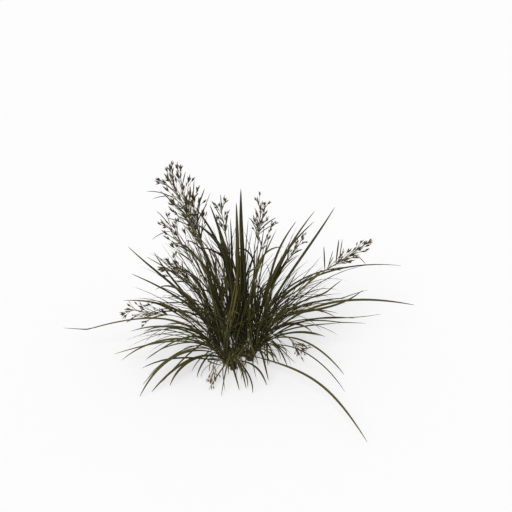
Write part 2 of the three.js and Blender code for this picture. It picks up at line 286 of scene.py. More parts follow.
def addTint(tree, colour, where, share, other):
    return addMix(tree, addMath(tree, "MULTIPLY", where, share), colour, other)


def addNoise(tree, scale, detail=3, stretch=(1, 1, 1)):
    place = addNode(tree, "TexCoord").outputs["Object"]
    place = addNode(tree, "Mapping", Vector=place, Scale=stretch).outputs[0]
    return addNode(tree, "TexNoise", Vector=place, Scale=scale, Detail=detail, Roughness=0.6).outputs[0]


def addBump(tree, height, strength, distance):
    return addNode(tree, "Bump", Strength=strength, Distance=distance, Height=height).outputs[0]


def readTone(tree):  # how light, yellow and dry the piece is
    tone = addNode(tree, "Attribute", attribute_name="tone").outputs["Color"]
    return list(addNode(tree, "SeparateColor", Color=tone).outputs)[:3]


def readWay(tree, way, look):  # what a colour goes by: a noise, the run from the foot, or the tone
    if way in ("grain", "blotch"):
        return addNoise(tree, *look[way])
    if way == "run":
        return addNode(tree, "Attribute", attribute_name="run").outputs["Fac"]
    return readTone(tree)[("light", "straw", "dry").index(way)]


# Colours go from a dull to a bright one, and coats are laid over them. Each coat is: what it goes
# by, its share, its colour or its dull and bright ones, and from where to where it comes up.
def makeMaterial(name, look):
    material, tree, shader = newMaterial(name)
    way, dull, bright = look["colours"]
    colour = addMix(tree, readWay(tree, way, look), dull, bright)
    for way, share, other, *ends in look["coats"]:
        where = readWay(tree, way, look)
        if ends:
            where = addRange(tree, where, *ends)
        if len(other) == 2:
            other = addMix(tree, readWay(tree, "grain", look), *other)
        colour = addTint(tree, colour, where, share, other)
    for joint in look.get("joints", ()):
        away = addMath(tree, "ABSOLUTE", addMath(tree, "SUBTRACT", readWay(tree, "run", look), joint))
        colour = addTint(tree, colour, addRange(tree, away, *look["jointEdges"]), *look["joint"])
    feed(tree, shader, Base_Color=colour, Roughness=look["roughness"], Specular_IOR_Level=look["gloss"])
    if "relief" in look:
        feed(tree, shader, Normal=addBump(tree, readWay(tree, "grain", look), *look["relief"]))
    return material


def wear(piece, *materials):
    piece.data.materials.clear()
    for material in materials:
        piece.data.materials.append(material)


# The crown and its bunches of shoots
crownLook = {
    "height": 4.4,
    "seatGap": 0.3,  # between the crown and what stands on it
    "rootHeight": 2.6,
    "lobeMargin": 0.6,  # from the ring of shoots to the edge of the lobe
    "lobeSides": 24,
    "runnerRadius": 1.5,
    "runnerSides": 12,
    "voxel": 0.7,
    "knobs": 1.1,  # depth of the knobbly surface
    "knobSize": 3.5,
    "knobMiddle": 0.6,  # brighter parts of the clouds stand out, darker ones sink in
    "knobMargin": 0.5,  # what the knobs add round a lobe
    "softening": 2,
    "cut": 0.3,  # what is cut off underneath
}
crownFinish = {
    "grain": (700, 5, (1, 1, 0.3)),
    "blotch": (120,),
    "colours": ("grain", (0.012, 0.01, 0.005), (0.05, 0.042, 0.021)),
    "coats": [("blotch", 0.5, (0.024, 0.021, 0.01))],
    "relief": (0.8, 0.0006),
    "roughness": 0.85,
    "gloss": 0.5,
}

# Each row is: name, place, radius of the ring of shoots, shoots on it, turn of the first one, how
# the bunch leans (turn, degrees), and the leaves and the young leaves on each of its shoots.
bunchKeys = ("name", "at", "ring", "shoots", "firstTurn", "lean", "leaves", "young")
bunchRows = [
    ("middle", (0, 0), 5, 6, 0, (340, 6), 5, 5),
    ("front", (-5, -33), 3.8, 4, 250, (190, 18), 1, 0),
    ("left", (-14, -19), 4.2, 5, 186, (172, 26), 3, 1),
    ("right", (15, -13), 4.2, 4, 7, (6, 19), 5, 2),
    ("rear_left", (-15, 17), 4.2, 4, 124, (146, 12), 5, 6),
    ("rear_right", (24, 10), 4.2, 4, 57, (24, 14), 5, 4),
]
bunches = {row[0]: dict(zip(bunchKeys, row)) for row in bunchRows}


def standAt(bunch, turn, distance):
    foot = np.array((*bunch["at"], crownLook["height"] + crownLook["seatGap"]), float)
    return foot + heading(turn) * distance


# Leaves
bladeLook = {
    "fine": (4, 22),  # columns and rows of the leaves that stand free
    "plain": (2, 12),  # and of the many between them
    "handle": 0.4,
    "baseShare": 0.28,  # width at the foot
    "widestAt": 0.45,
    "taper": 3.4,
    "tipShare": 0.03,
    "foldAtBase": 0.34,  # depth of the folded midrib as a share of the width
    "foldAtTip": 0.12,
    "foldSteps": ((0.1, 0.62), (0.3, 0.38)),  # how far from the midrib, and the share of the depth
    "thickness": 0.06,
    "floor": 0.25,  # no part of a leaf is lower
}
leafFinish = {
    "shade": (0.0055, 0.0055, 0.0025),
    "light": (0.128, 0.116, 0.04),
    "lightShare": 0.95,
    "mottleSize": 260,
    "mottle": 0.2,
    "yellow": (0.75, (0.13, 0.106, 0.03)),
    "midrib": (0.45, (0.1, 0.092, 0.036)),
    "midribEdges": (0.1, 0.02),
    "vein": (0.12, (0.1, 0.092, 0.036)),
    "veins": 11,
    "veinHeight": 0.4,
    "foot": (0.7, (0.03, 0.027, 0.012)),
    "footEnd": 0.16,
    "dry": (0.1, 0.07, 0.036),
    "dryLength": 0.35,
    "drySharpness": 8,
    "roughness": 0.52,
    "gloss": 0.09,
    "relief": (0.35, 0.0002),
}
# The lower faces are darker and duller: a shaded copy of the leaf finish, painted shade for the shade that
# falls under the leaves
leafUnderFinish = dict(leafFinish, shade=(0.006, 0.006, 0.003), light=(0.036, 0.034, 0.015), roughness=0.6)


def makeLeafMaterial(name, look):
    material, tree, shader = newMaterial(name)
    flat = addNode(tree, "UVMap").outputs[0]
    across, along, _ = addNode(tree, "SeparateXYZ", Vector=flat).outputs
    lightness, yellowness, dryness = readTone(tree)
    mottle = addMath(tree, "MULTIPLY", addNoise(tree, look["mottleSize"]), look["mottle"])
    lit = addMath(tree, "ADD", addMath(tree, "MULTIPLY", lightness, look["lightShare"]), mottle)
    colour = addMix(tree, lit, look["shade"], look["light"])
    colour = addTint(tree, colour, yellowness, *look["yellow"])
    middle = addMath(tree, "ABSOLUTE", addMath(tree, "SUBTRACT", across, 0.5))
    midrib = addRange(tree, middle, *look["midribEdges"])
    colour = addTint(tree, colour, midrib, *look["midrib"])
    veins = addMath(tree, "SINE", addMath(tree, "MULTIPLY", across, 2 * math.pi * look["veins"]))
    veins = addMath(tree, "MULTIPLY_ADD", veins, 0.5, 0.5)
    colour = addTint(tree, colour, veins, *look["vein"])
    colour = addTint(tree, colour, addRange(tree, along, look["footEnd"], 0), *look["foot"])
    tipStart = addMath(tree, "SUBTRACT", 1, addMath(tree, "MULTIPLY", dryness, look["dryLength"]))
    past = addMath(tree, "SUBTRACT", along, tipStart)
    tip = addMath(tree, "MULTIPLY", past, look["drySharpness"], clamp=True)
    colour = addMix(tree, tip, colour, look["dry"])
    rough = addMath(tree, "ADD", look["roughness"], mottle)
    ridges = addMath(tree, "SUBTRACT", addMath(tree, "MULTIPLY", veins, look["veinHeight"]), midrib)
    relief = addBump(tree, ridges, *look["relief"])
    feed(tree, shader, Base_Color=colour, Roughness=rough, Specular_IOR_Level=look["gloss"], Normal=relief)
    return material


def bladeWidth(share):
    look = bladeLook
    if share < look["widestAt"]:
        return mix(look["baseShare"], 1, math.sin(share / look["widestAt"] * math.pi / 2))
    past = (share - look["widestAt"]) / (1 - look["widestAt"])
    return max(1 - past ** look["taper"], look["tipShare"])


# A blade: x is across it in widths, y runs from its foot at 0 to its tip at 1
def modelBlade(name, columns, rows):
    look = bladeLook
    divisions = {"x_subdivisions": columns, "y_subdivisions": rows}
    blade = startPiece(bpy.ops.mesh.primitive_grid_add, (0, 0, 0), size=1, **divisions)
    for row in range(rows + 1):  # the fold along the midrib, deep at the foot
        share = row / rows
        depth = mix(look["foldAtBase"], look["foldAtTip"], math.sqrt(share))
        for reach, part in look["foldSteps"]:
            pickPoints(blade, lambda at: isRow(at, share, rows) and abs(at.x) < reach)
            bpy.ops.transform.translate(value=(0, 0, -depth * part))
    scaleRows(blade, rows, bladeWidth)
    holdOnly(blade)
    wear(blade, *leafMaterials)
    # the lower faces take the second material, which carries painted shade
    applyModifier(blade, "SOLIDIFY", thickness=look["thickness"], offset=-1, material_offset=1)
    return finishMaster(blade, name)


sheathLook = {
    "height": 36,
    "footRadius": 0.8,
    "topRadius": 0.5,
    "depth": 3.6,  # how far it goes down into the crown
    "fan": 11,  # how far the outer shoots of a bunch lean outwards
    "sides": 10,
    "rows": 6,
    "wall": 0.14,
    "mouth": ((0, 0.05), (-0.5, 0.07), (-1.1, 0.09)),  # above which z the top sinks, and how far
    "oldPerShoot": 1,  # dry outer sheaths
    "oldHeight": (8, 20),
    "oldRadius": (0.9, 1.1),
    "oldSplay": 0.12,
    "dryness": 0.2,
    "oldDryness": (0.6, 1),
}
sheathFinish = {
    "grain": (900, 4, (1, 1, 0.12)),
    "colours": ("grain", (0.014, 0.0135, 0.006), (0.05, 0.046, 0.018)),
    "coats": [
        ("run", 0.5, (0.045, 0.038, 0.018), 0.6, 0),
        ("dry", 1, ((0.024, 0.02, 0.01), (0.075, 0.062, 0.03))),
        ("light", 0.35, (0.02, 0.016, 0.008)),
    ],
    "relief": (0.4, 0.0002),
    "roughness": 0.62,
    "gloss": 0.15,
}


# A rolled sheath: a thin tube with a slanting mouth, lower on one side
def modelSheath(name):
    look = sheathLook
    tube = {"vertices": look["sides"], "radius": 1, "depth": 1, "end_fill_type": "NOTHING"}
    piece = startPiece(bpy.ops.mesh.primitive_cylinder_add, **tube)
    bpy.ops.mesh.select_all(action="SELECT")
    bpy.ops.mesh.subdivide(number_cuts=1)
    cutRows(piece, look["rows"] // 2 - 1)
    taper = look["topRadius"] / look["footRadius"]
    scaleRows(piece, look["rows"], lambda share: mix(1, taper, share))
    for low, drop in look["mouth"]:
        pickPoints(piece, lambda at: at.y > 0.75 and at.z > low)
        bpy.ops.transform.translate(value=(0, -drop, 0))
    applyModifier(piece, "SOLIDIFY", thickness=look["wall"] / look["footRadius"], offset=1)
    return finishMaster(piece, name, 50)


print("masters: blades and sheath")
# the second material, for the lower faces of the leaves, carries painted shade
leafMaterials = makeLeafMaterial("leafUpper", leafFinish), makeLeafMaterial("leafUnder", leafUnderFinish)
fineBlade = modelBlade("masterFineBlade", *bladeLook["fine"])
plainBlade = modelBlade("masterPlainBlade", *bladeLook["plain"])
sheath = modelSheath("masterSheath")
wear(sheath, makeMaterial("leafSheath", sheathFinish))

# Leaves that give the tuft its outline, by shoot. Each is: turn, reach from the shoot's foot, height
# of the tip, angle of rise at the sheath, angle at the tip, and width. Some have more: how far they
# swing sideways on their way, and where they are broken near the tip, (share of the length, angle).
outlineKeys = ("turn", "reach", "tip", "rise", "fall", "width", "swing", "broken")
outlineLeaves = {
    "middle_0": [(268, 3, 196, 89, 88, 4.8)],
    "middle_1": [(270, 2, 212, 89, 89, 5), (6, 26, 117, 92, 10, 3.4)],
    "middle_3": [(172, 46, 187, 84, 52, 3.2)],
    "middle_4": [(182, 40, 170, 84, 34, 4.8), (164, 26, 190, 90, 68, 4.2)],
    "middle_5": [(215, 8, 171, 86, 86, 4.6), (232, 12, 121, 86, 78, 3), (261, 90, 3, 46, -34, 1.8)],
    "middle_6": [(330, 12, 178, 84, 84, 3)],
    "front_0": [(176, 140, 14, 42, -22, 2.6)],
    "front_2": [(309, 56, 7, 32, -38, 2.6, 14)],
    "front_4": [(212, 101, 3, 34, -26, 3, -20), (213, 79, 4, 38, -50, 3, -26),
        (184, 98, 15, 62, -46, 2.4)],
    "left_0": [(162, 118, 134, 72, 41, 2.8), (171, 98, 33, 52, -32, 2.4), (164, 85, 84, 80, -44, 2.6)],
    "left_1": [(172, 190, 20, 62, -22, 3, -6, (0.87, 24)), (191, 117, 17, 52, -40, 2.6),
        (174, 108, 36, 54, -24, 2.4)],
    "left_2": [(218, 116, 3, 40, -40, 2.8, -22), (208, 103, 3, 50, -40, 1.8, -12),
        (227, 45, 3, 60, -80, 2.2, -12)],
    "left_4": [(282, 67, 3, 56, -46, 2.6, -8), (289, 66, 3, 62, -52, 2.4)],
    "left_5": [(160, 130, 57, 60, -14, 3.2), (149, 134, 81, 68, 8, 2.2)],
    "right_0": [(21, 103, 180, 74, 57, 3.8), (8, 156, 50, 60, 8, 2.2),
        (1, 134, 42, 56, -18, 1.8, 0, (0.81, 12))],
    "right_1": [(13, 200, 49, 55, -18, 2.8), (5, 119, 50, 50, -10, 1.8), (357, 77, 35, 52, -16, 1.9)],
    "right_2": [(17, 142, 70, 80, 40, 3)],
    "right_3": [(238, 79, 3, 44, -28, 1.8)],
    "right_4": [(306, 201, 7, 14, -24, 3.2, 8), (291, 56, 8, 60, -44, 2.4, 8),
        (327, 125, 3, 46, -44, 1.8, 12)],
    "rear_left_1": [(161, 98, 104, 72, 22, 2.4)],
    "rear_left_2": [(160, 87, 114, 52, 57, 2.6), (171, 63, 98, 74, -20, 2.4)],
    "rear_right_0": [(28, 75, 167, 78, 44, 3.4), (34, 54, 156, 80, 43, 2.8),
        (10, 112, 102, 86, -4, 2.4)],
    "rear_right_1": [(25, 198, 71, 80, -17, 4), (12, 135, 51, 54, -14, 2.2, 0, (0.78, 24)),
        (16, 108, 66, 56, 4, 2.4, 0, (0.8, 30))],
    "rear_right_2": [(8, 68, 163, 78, 42, 3.2), (35, 63, 108, 78, 8, 2.6)],
    "rear_right_4": [(282, 39, 3, 68, -76, 2.6), (307, 51, 3, 42, -40, 2.4, 14),
        (329, 111, 3, 38, -38, 3, 10), (349, 95, 49, 42, 12, 2.2), (345, 62, 35, 66, -50, 2.8)],
}

# Leaves that fill the tuft, by rule: from low and drooping on its outside to upright inside.
fillerLook = {
    "lengthLow": (70, 125),  # lengths of the lowest leaves
    "lengthHigh": (95, 170),  # and of the upright ones
    "width": (1.3, 2.3),
    "swing": 24,
    "liftInside": (0.5, 1),  # 0 for a leaf that lies, 1 for one that stands upright
    "liftOutside": (0.04, 0.78),
    "spreadInside": 330,
    "spreadOutside": 120,
    "outsideAt": 30,  # distance of the outermost shoots from the middle
    "slope": (2, 86),
    "droop": (0.5, 1.5),  # of a leaf that lies
    "reachLost": 0.12,  # by the droop
    "heightLost": 0.1,
    "lowestTip": 4,
    "rise": (10, 44),  # over the slope, for an upright and a lying leaf
    "steepest": 88,
    "fall": (12, 46),  # under the slope, always and by the droop
    "from": (8, 30),
}
youngLook = dict(  # younger and thinner leaves between them
    fillerLook,
    lengthLow=(55, 115),
    lengthHigh=(70, 165),
    width=(0.9, 1.8),
    liftInside=(0.55, 1),
    liftOutside=(0.2, 0.95),
    spreadOutside=190,
)

# Groups of leaves that stand together in parts of the tuft. Each row is: bunches, number of leaves,
# and ranges for the turn, the reach from the shoot's foot, the height of the tip, how much the leaf
# arches, its width and where it leaves its sheath. A group that is darker than others has the share
# of lightness that it keeps, and one that is yellow how yellow it is.
groupKeys = ("bunches", "count", "turn", "reach", "tip", "arch", "width", "from", "light", "yellow")
leafGroups = [
    (("rear_left", "left", "middle"), 26, (154, 196), (26, 66), (116, 190), (2, 24), (1.1, 2), (6, 26)),
    (("middle", "rear_right"), 5, (-20, 140), (4, 22), (120, 186), (2, 20), (1.1, 2), (6, 26)),
    (("middle", "right"), 18, (-180, 180), (2, 14), (50, 120), (2, 24), (1.2, 2.2), (1, 8)),
    (("right", "rear_right"), 8, (8, 44), (24, 76), (84, 168), (6, 40), (1.1, 2), (4, 22)),
    (("left", "front"), 12, (164, 192), (50, 112), (14, 50), (26, 70), (1.4, 2.4), (4, 22)),
    (("right", "rear_right"), 5, (-4, 24), (88, 160), (44, 112), (20, 60), (1.1, 2), (4, 22)),
    (("front", "left"), 7, (215, 320), (20, 58), (3, 12), (50, 110), (1, 1.8), (2, 14)),
    (("right", "rear_right"), 12, (250, 350), (20, 56), (3, 12), (50, 110), (1, 1.8), (2, 14)),
    (("middle", "front", "left"), 12, (190, 350), (14, 34), (34, 72), (90, 150), (1.2, 2), (10, 30)),
    (("rear_left",), 8, (156, 188), (34, 70), (120, 172), (0, 14), (1.3, 2), (6, 26)),
    (("middle",), 10, (285, 350), (6, 18), (36, 90), (0, 16), (1.6, 2.4), (1, 8)),
    (("middle",), 6, (176, 200), (18, 42), (156, 186), (0, 12), (1.2, 2.2), (6, 26), 0.5),
    (("middle",), 7, (190, 260), (2, 16), (128, 178), (0, 10), (2, 3), (6, 26), 0.2),
    (("right",), 6, (120, 220), (2, 9), (50, 110), (0, 10), (1.5, 2.2), (6, 20), 0.5),
    (("front",), 6, (36, 66), (18, 28), (80, 124), (0, 4), (1.2, 1.8), (10, 20), 0.2, 0.5),
    (("left",), 10, (285, 350), (20, 50), (3, 10), (50, 100), (0.8, 1.4), (4, 20)),
    (("right", "middle"), 12, (195, 250), (20, 60), (3, 20), (40, 90), (0.8, 1.4), (4, 20)),
    (("front", "left"), 8, (0, 75), (15, 45), (30, 90), (6, 40), (0.8, 1.3), (2, 12), 0.3),
    (("left", "rear_left"), 16, (150, 185), (60, 112), (40, 110), (10, 40), (0.9, 1.5), (6, 24)),
    (("rear_left", "rear_right"), 26, (40, 140), (26, 90), (3, 50), (50, 100), (1.2, 2.4), (3, 20)),
    (("right",), 10, (-46, 6), (22, 52), (6, 34), (20, 70), (1, 1.8), (3, 16)),
    (("rear_right", "right"), 12, (10, 32), (48, 104), (72, 114), (4, 30), (0.8, 1.3), (4, 22)),
    (("front", "left"), 9, (200, 340), (12, 40), (2, 14), (30, 80), (0.7, 1.2), (2, 10)),
]
groupLook = {
    "slopeFrom": 14,  # height from which the slope to the tip is taken
    "rise": 0.6,  # share of the arch over the slope
    "steepest": 89,
    "swing": 30,
}
habitLook = {
    "roll": 50,
    "twist": 60,
    "wave": 0.8,  # how far a leaf wanders sideways
    "waves": (0.6, 1.2),
    "facing": 26,  # how far the outline leaves turn their faces to the front
    "leaveLow": 2,  # a flat-lying leaf leaves its sheath lower than an upright one
    "leavePerDegree": 0.15,
    "brokenShare": 0.1,  # of the filling leaves
    "breakAt": (0.55, 0.85),
    "breakAngle": 70,
}
toneLook = {
    "light": 2.1,  # the higher, the fewer leaves are light
    "yellow": (1.6, 1),
    "dry": 0.6,
    "ageFrom": 120,  # the longest leaves are the oldest: how long, and over what range
    "ageRange": 80,
    "agedYellow": 0.35,
    "agedDry": 0.3,
    "outline": 0.65,  # the share of lightness that outline leaves keep
    "broad": 0.3,  # and that the broad ones keep
    "broadFrom": 4,
}


# The shoots: where each stands, and how it leans
def shootSites():
    for bunch in bunches.values():
        for i in range(bunch["shoots"] + 1):
            turn = bunch["firstTurn"] + (i - 1) * 360 / bunch["shoots"]
            foot = standAt(bunch, turn, bunch["ring"] if i else 0)
            leanTurn, leanAngle = bunch["lean"]
            tilt = heading(leanTurn) * leanAngle
            if i:
                tilt = tilt + heading(turn) * sheathLook["fan"]
            angle = np.linalg.norm(tilt)
            yield {
                "name": bunch["name"] + "_" + str(i),
                "foot": foot,
                "lean": climb(unit(tilt), 90 - angle) if angle else up,
                "distance": math.hypot(foot[0], foot[1]),
                "tiltTurn": math.degrees(math.atan2(tilt[1], tilt[0])),
                "leaves": bunch["leaves"],
                "young": bunch["young"],
            }


def fillingLeaves(site, seed, look, count):
    draw = numberStream(seed)
    outside = min(site["distance"] / look["outsideAt"], 1)
    lowest = mix(look["liftInside"][0], look["liftOutside"][0], outside)
    highest = mix(look["liftInside"][1], look["liftOutside"][1], outside)
    spread = mix(look["spreadInside"], look["spreadOutside"], outside)
    for i in range(count):
        lift = mix(lowest, highest, (i + draw()) / count)
        turn = site["tiltTurn"] + spread * (draw() - 0.5)
        share = draw()
        length = mix(mix(*look["lengthLow"], share), mix(*look["lengthHigh"], share), lift)
        slope = mix(*look["slope"], lift)
        droop = (1 - lift) * draw(look["droop"])
        slant = math.radians(slope)
        yield {
            "turn": turn,
            "reach": length * math.cos(slant) * (1 - look["reachLost"] * droop),
            "tip": look["lowestTip"] + length * math.sin(slant) * (1 - look["heightLost"] * droop),
            "rise": min(look["steepest"], slope + mix(*look["rise"], 1 - lift)),
            "fall": slope - look["fall"][0] - look["fall"][1] * droop,
            "width": draw(look["width"]),
            "swing": look["swing"] * (2 * draw() - 1),
            "from": draw(look["from"]),
        }


def groupLeaves(group, seed):  # pairs of a shoot's name and a leaf
    draw = numberStream(seed)
    for i in range(group["count"]):
        bunch = bunches[group["bunches"][i % len(group["bunches"])]]
        shoot = bunch["name"] + "_" + str(int(draw() * (bunch["shoots"] + 1)))
        reach, tip, arch = [draw(group[key]) for key in ("reach", "tip", "arch")]
        slope = math.degrees(math.atan2(tip - groupLook["slopeFrom"], reach))
        yield shoot, {
            "turn": draw(group["turn"]),
            "reach": reach,
            "tip": tip,
            "rise": min(slope + groupLook["rise"] * arch, groupLook["steepest"]),
            "fall": slope - arch,
            "width": draw(group["width"]),
            "swing": groupLook["swing"] * (draw() - 0.5),
            "from": draw(group["from"]),
            "yellow": group.get("yellow", 0),
            "light": group.get("light", 1),
        }


def readOutline(row):
    leaf = {"swing": 0, **dict(zip(outlineKeys, row))}
    leaf["from"] = habitLook["leaveLow"] + habitLook["leavePerDegree"] * leaf["rise"]
    return leaf


def addHabit(leaf, draw, facing=0):  # how a leaf rolls, twists and wanders on its way
    look = habitLook
    leaf["roll"] = facing + look["roll"] * (draw() - 0.5)
    leaf["twist"] = look["twist"] * (draw() - 0.5)
    leaf["wave"] = look["wave"] * draw()
    leaf["waves"] = draw(look["waves"])
    leaf["phase"] = draw()


def leafTone(draw, age=0):  # how light, yellow and dry a leaf is
    look = toneLook
    gain, start = look["yellow"]
    yellowness = max(0, draw() * gain - start) + look["agedYellow"] * age
    dryness = look["dry"] * draw() ** 3 + look["agedDry"] * age
    return draw() ** look["light"], yellowness, dryness


def leafLine(site, leaf):
    arriveHeading = heading(leaf["turn"] - leaf["swing"])
    start = site["foot"] + site["lean"] * leaf["from"]
    end = site["foot"] + heading(leaf["turn"]) * leaf["reach"]
    end[2] = leaf["tip"]
    leave = climb(heading(leaf["turn"] + leaf["swing"]), leaf["rise"])
    curve = arc(start, leave, end, climb(arriveHeading, leaf["fall"]), bladeLook["handle"])

    def line(share):
        points, along = walk(curve, share)
        side = np.cross(up, heading(leaf["turn"] + leaf["swing"] * (1 - 2 * share)))
        over = unit(np.cross(along, side))
        wave = leaf["wave"] * np.sin(2 * math.pi * (leaf["waves"] * share + leaf["phase"]))
        points = points + side * (wave * share * (1 - share) * 4)[:, None]  # none at its ends
        rolled = np.minimum(share * 4, 1)[:, None]  # all of it from a quarter of the length on
        roll = np.radians(leaf["roll"] + leaf["twist"] * share)[:, None] * rolled
        sideways = side * np.cos(roll) + over * np.sin(roll)
        upwards = over * np.cos(roll) - side * np.sin(roll)
        if "broken" in leaf:
            breakShare, angle = leaf["broken"]
            hinge = walk(curve, breakShare)[0]
            hingeAxis = np.cross(up, arriveHeading)
            past = share > breakShare
            points[past] = hinge + turned(points[past] - hinge, hingeAxis, -angle)
            sideways[past] = turned(sideways[past], hingeAxis, -angle)
            upwards[past] = turned(upwards[past], hingeAxis, -angle)
        return points, sideways, upwards

    return line


def sheathPieces(site, draw):
    look = sheathLook
    lean = site["lean"]
    foot = site["foot"] - lean * look["depth"]
    tone = (draw(), 0, look["dryness"] * draw())
    line = strand(foot, lean, site["foot"] + lean * look["height"], lean, heading(360 * draw()))
    yield copyAlong(sheath, line, look["footRadius"], tone)
    for _ in range(look["oldPerShoot"]):
        height = draw(look["oldHeight"])
        splay = unit(lean + heading(360 * draw()) * look["oldSplay"])
        tone = (draw(), 0, draw(look["oldDryness"]))
        line = strand(foot, lean, foot + splay * height, splay, heading(360 * draw()))
        yield copyAlong(sheath, line, draw(look["oldRadius"]), tone)


sites = list(shootSites())
groups = [dict(zip(groupKeys, row)) for row in leafGroups]
grouped = [pair for number, group in enumerate(groups) for pair in groupLeaves(group, 4000 + number)]
leafCount = 0
for index, site in enumerate(sites):
    draw = numberStream(5000 + index)
    leaves = [readOutline(row) for row in outlineLeaves.get(site["name"], ())]
    for leaf in leaves:
        addHabit(leaf, draw, habitLook["facing"] * math.cos(math.radians(leaf["turn"])))
    fillers = list(fillingLeaves(site, index + 1, fillerLook, site["leaves"]))
    fillers += fillingLeaves(site, 900 + index, youngLook, site["young"])
    fillers += [leaf for shoot, leaf in grouped if shoot == site["name"]]
    for leaf in fillers:
        addHabit(leaf, draw)
        if draw() < habitLook["brokenShare"]:
            breakShare = draw(habitLook["breakAt"])
            leaf["broken"] = (breakShare, habitLook["breakAngle"] * (draw() - 0.5))
    pieces = list(sheathPieces(site, draw))
    for leaf in leaves:
        age = max(0, leaf["reach"] - toneLook["ageFrom"]) / toneLook["ageRange"]
        lightness, yellowness, dryness = leafTone(draw, age)
        light = toneLook["outline"] if leaf["width"] < toneLook["broadFrom"] else toneLook["broad"]
        tone = (lightness * light, yellowness, dryness)
        pieces.append(copyAlong(fineBlade, leafLine(site, leaf), leaf["width"], tone))
    for leaf in fillers:
        lightness, yellowness, dryness = leafTone(draw)
        light = leaf.get("light", 1)
        tone = (lightness * light, max(yellowness * light, leaf.get("yellow", 0)), dryness)
        pieces.append(copyAlong(plainBlade, leafLine(site, leaf), leaf["width"], tone))
    leafCount += len(leaves) + len(fillers)
    shoot = joinAs("leafyShoot_" + site["name"], pieces)
    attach(shoot, "root")
    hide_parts("leaf_shoot_" + site["name"])
print("shoots:", len(sites), "with", leafCount, "leaves")

# Flowering stems. Each row is: bunch, turn of the foot in it, neck, angle of rise at the foot,
# tip of the flower head, number of branches, length of the lowest branch, spread of the branches,
# and size of the spikelets.
stemKeys = ("bunch", "turn", "neck", "rise", "tip", "branches", "reach", "spread", "size")
flowerStems = [
    ("middle", 150, (-38, 15, 132), 84, (-76, 24, 212), 12, 44, 24, 1),
    ("rear_left", 350, (-46, 26, 130), 80, (-66, 32, 212), 11, 42, 22, 1),
    ("rear_left", 169, (-41, 38, 122), 70, (-52, 44, 182), 10, 38, 28, 1),
    ("left", 5, (-50, 20, 108), 86, (-78, 24, 158), 10, 34, 26, 0.9),
    ("middle", 90, (-12, 12, 146), 94, (-17, 14, 182), 7, 20, 24, 0.8),
    ("middle", 30, (24, 18, 140), 72, (27, 20, 180), 9, 24, 18, 0.9),
    ("right", 52, (102, 20, 101), 58, (147, 28, 131), 11, 20, 20, 0.85),
    ("rear_right", 200, (56, 45, 96), 66, (76, 56, 124), 6, 16, 24, 0.7),
    ("left", 150, (-78, 14, 45), 42, (-128, 20, 50), 11, 26, 28, 0.75),
    ("rear_left", 259, (-53, 16, 86), 72, (-78, 22, 108), 9, 26, 34, 0.85),
    ("rear_right", 282, (60, -3, 24), 76, (75, -10, 14), 7, 16, 34, 0.7),
    ("front", 205, (-26, -57, 22), 66, (-28, -70, 10), 6, 9, 26, 0.55),
    ("rear_right", 102, (27, 28, 123), 70, (40, 33, 152), 4, 8, 22, 0.8),
]
stemLook = {
    "inset": 0.9,
    "footRadius": 0.9,
    "neckRadius": 0.5,
    "sides": 8,
    "rows": 50,
    "handle": 0.35,
    "joints": (0.3, 0.62),  # where along a stem its swollen joints are
    "jointSwell": 1.5,
    "jointLength": 0.012,
    "leafLength": (45, 80),  # of the leaf at the upper joint
    "leafWidth": 2.2,
    "leafRise": 1.4,
    "leafFall": (-20, 20),
}
stemFinish = {
    "grain": (1200, 4, (1, 1, 0.08)),
    "colours": ("grain", (0.04, 0.035, 0.014), (0.09, 0.077, 0.032)),
    "coats": [
        ("light", 0.5, (0.11, 0.09, 0.042)),
        ("run", 0.8, (0.17, 0.155, 0.085), 0.45, 1),
    ],
    "joints": stemLook["joints"],
    "joint": (0.75, (0.06, 0.036, 0.018)),
    "jointEdges": (0.02, 0.004),
    "relief": (0.3, 0.0001),
    "roughness": 0.55,
    "gloss": 0.15,
}


def stemWidth(share):
    look = stemLook
    width = mix(1, look["neckRadius"] / look["footRadius"], share)
    for joint in look["joints"]:
        width *= 1 + (look["jointSwell"] - 1) * math.exp(-(((share - joint) / look["jointLength"]) ** 2))
    return width


def stemPieces(stem, draw):
    look = stemLook
    line = tubeLine(stem["curve"], stem["across"])
    yield copyAlong(stemStalk, line, look["footRadius"], (draw(), 0, 0))
    foot, along = walk(stem["curve"], look["joints"][1])
    turn = 360 * draw()
    length = draw(look["leafLength"])
    end = foot + unit(along * look["leafRise"] + heading(turn)) * length
    arrive = climb(heading(turn), draw(look["leafFall"]))
    line = tubeLine(arc(foot, along, end, arrive, bladeLook["handle"]), up + 0.01)  # never quite along up
    yield copyAlong(plainBlade, line, look["leafWidth"], leafTone(draw))


# Flower heads. Slim leaves stand out of some of them, and each row of them is: stem, share of the
# head below it, turn, angle at its foot, angle at its tip, length and width.
headLeaves = [
    (1, 0.76, 163, 62, -2, 33, 1),
    (1, 0.65, 169, 47, -13, 43, 1),
    (1, 0.76, 180, 14, -24, 29, 0.8),
    (2, 1, 100, 69, 61, 19, 1.1),
    (2, 0.83, 63, 66, 56, 21, 1.1),
    (3, 0.92, 82, 69, 57, 27, 1.1),
    (3, 0.65, 51, 63, 55, 35, 1.5),
    (3, 0.41, 53, 62, 52, 45, 0.8),
    (4, 0.93, 155, 53, 33, 26, 0.9),
    (4, 0.84, 189, 7, -49, 27, 0.8),
    (5, 0.8, 100, 67, 59, 23, 1.1),
    (5, 0.55, 141, 57, 45, 25, 1),
    (6, 0.3, 16, 51, 21, 25, 1.2),
    (6, 0.2, 12, 45, 15, 23, 1),
    (6, 0.38, 156, 48, 34, 18, 0.9),
    (7, 0, 96, 69, 61, 29, 1.4),
    (7, 0.28, 73, 68, 62, 29, 1.6),
    (7, 0.36, 71, 66, 62, 27, 1.1),
    (7, 0.07, 54, 64, 58, 23, 0.9),
    (7, 0.65, 348, -1, -65, 22, 0.8),
]
